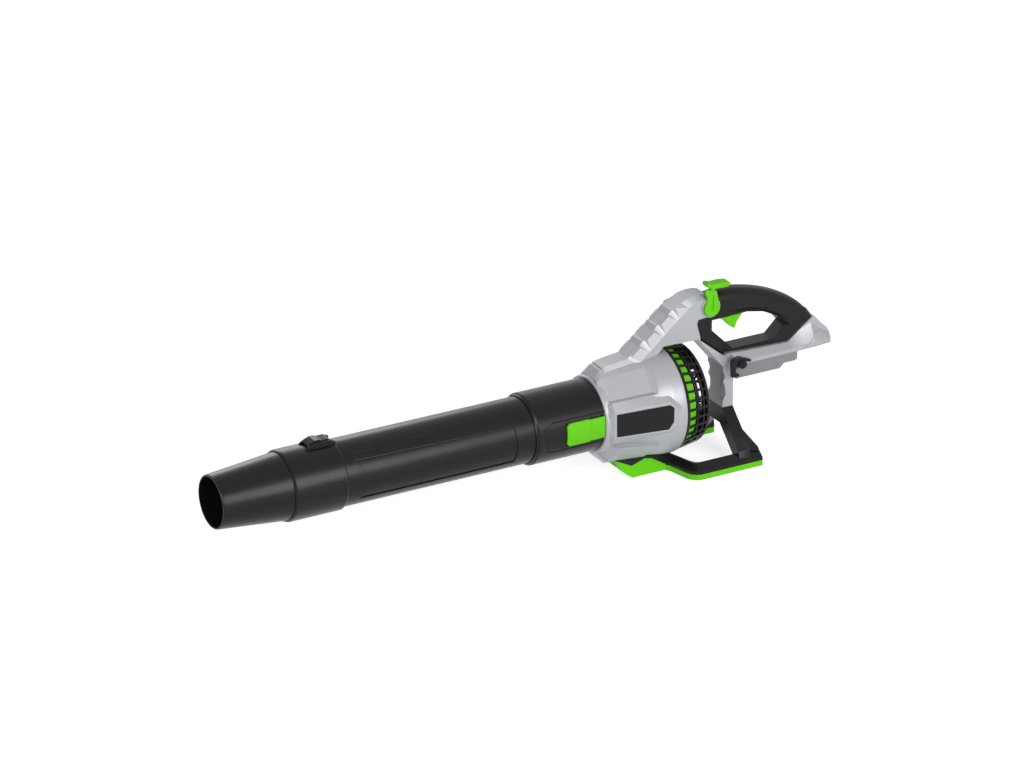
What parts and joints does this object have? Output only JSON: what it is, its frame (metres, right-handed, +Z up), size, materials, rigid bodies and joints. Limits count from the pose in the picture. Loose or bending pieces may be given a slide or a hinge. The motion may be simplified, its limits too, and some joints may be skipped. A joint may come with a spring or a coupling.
{
  "type": "cordless leaf blower",
  "caption": "Handheld axial leaf blower with a long round tube and cone nozzle, looped rear handle with trigger and thumb lever, open battery bay and a splayed foot.",
  "frame": {"origin": "middle of the blower's length and width, on the surface that its foot stands on", "axes": "+X to the rear (the jet leaves along -X), +Y to the operator's right, +Z up"},
  "size_m": [0.95, 0.154, 0.2655],
  "materials": {
    "silver_plastic": "satin moulded silver-grey plastic",
    "black_plastic": "fine-textured black moulded plastic",
    "grip_rubber": "soft over-moulded black grip",
    "green_plastic": "bright green moulded plastic",
    "grey_plastic": "dark grey moulded plastic",
    "motor_metal": "cast",
    "steel": "zinc plated",
    "brass": "plain"
  },
  "bodies": {
    "blower": {"housing_left": "silver_plastic", "housing_right": "silver_plastic", "side_plate": "black_plastic", "housing_screws": "steel", "fan_duct": "black_plastic", "inlet_band": "green_plastic", "stator": "black_plastic", "tail_cone": "black_plastic", "motor_case": "motor_metal", "motor_bearing_front": "steel", "motor_bearing_rear": "steel", "inlet_guard": "black_plastic", "handle_left": "grip_rubber", "handle_right": "grip_rubber", "trigger_pin": "steel", "trigger_spring": "steel", "trigger_switch": "black_plastic", "release_pin": "steel", "battery_rails": "grey_plastic", "terminal_block": "black_plastic", "terminal_blades": "brass", "controller": "black_plastic", "foot_frame": "black_plastic", "foot_pad": "green_plastic", "foot_screws": "steel"},
    "rotor": {"motor_shaft": "steel", "fan": "black_plastic", "fan_nut": "black_plastic"},
    "tube": {"front_tube": "black_plastic", "rear_tube": "black_plastic", "tube_latch_pin": "steel"},
    "tube_latch": {"tube_latch": "green_plastic"},
    "nozzle": {"nozzle": "black_plastic", "nozzle_latch_pin": "steel"},
    "nozzle_latch": {"nozzle_latch": "black_plastic"},
    "trigger": {"trigger": "green_plastic"},
    "cruise_lever": {"cruise_lever": "green_plastic"},
    "release_lever": {"release_lever": "black_plastic"}
  },
  "joints": [
    {"name": "fan_spin", "type": "hinge", "parent": "blower", "child": "rotor", "pos_m": [0.193, 0, 0.1025], "axis": [1, 0, 0], "continuous": true},
    {"name": "tube_slide", "type": "slide", "parent": "blower", "child": "tube", "axis": [-1, 0, 0], "range_m": [0, 0.034]},
    {"name": "nozzle_slide", "type": "slide", "parent": "tube", "child": "nozzle", "axis": [-1, 0, 0], "range_m": [0, 0.071]},
    {"name": "tube_latch_press", "type": "hinge", "parent": "tube", "child": "tube_latch", "pos_m": [0.07, -0.04735, 0.1025], "axis": [0, 0, -1], "range_deg": [0, 4.5], "stiffness_Nm_per_rad": 0.3, "springref_deg": -8.59},
    {"name": "nozzle_latch_press", "type": "hinge", "parent": "nozzle", "child": "nozzle_latch", "pos_m": [-0.3165, 0, 0.1558], "axis": [0, 1, 0], "range_deg": [0, 5], "stiffness_Nm_per_rad": 0.3, "springref_deg": -8.59},
    {"name": "trigger_pull", "type": "hinge", "parent": "blower", "child": "trigger", "pos_m": [0.295, 0, 0.214], "axis": [0, -1, 0], "range_deg": [0, 18], "stiffness_Nm_per_rad": 0.4, "springref_deg": -17.19},
    {"name": "cruise_lever_turn", "type": "hinge", "parent": "blower", "child": "cruise_lever", "pos_m": [0.279, -0.02, 0.2285], "axis": [0, -1, 0], "range_deg": [0, 35]},
    {"name": "release_lever_press", "type": "hinge", "parent": "blower", "child": "release_lever", "pos_m": [0.322, -0.03, 0.1405], "axis": [0, -1, 0], "range_deg": [0, 15], "stiffness_Nm_per_rad": 0.2, "springref_deg": -11.46}
  ]
}
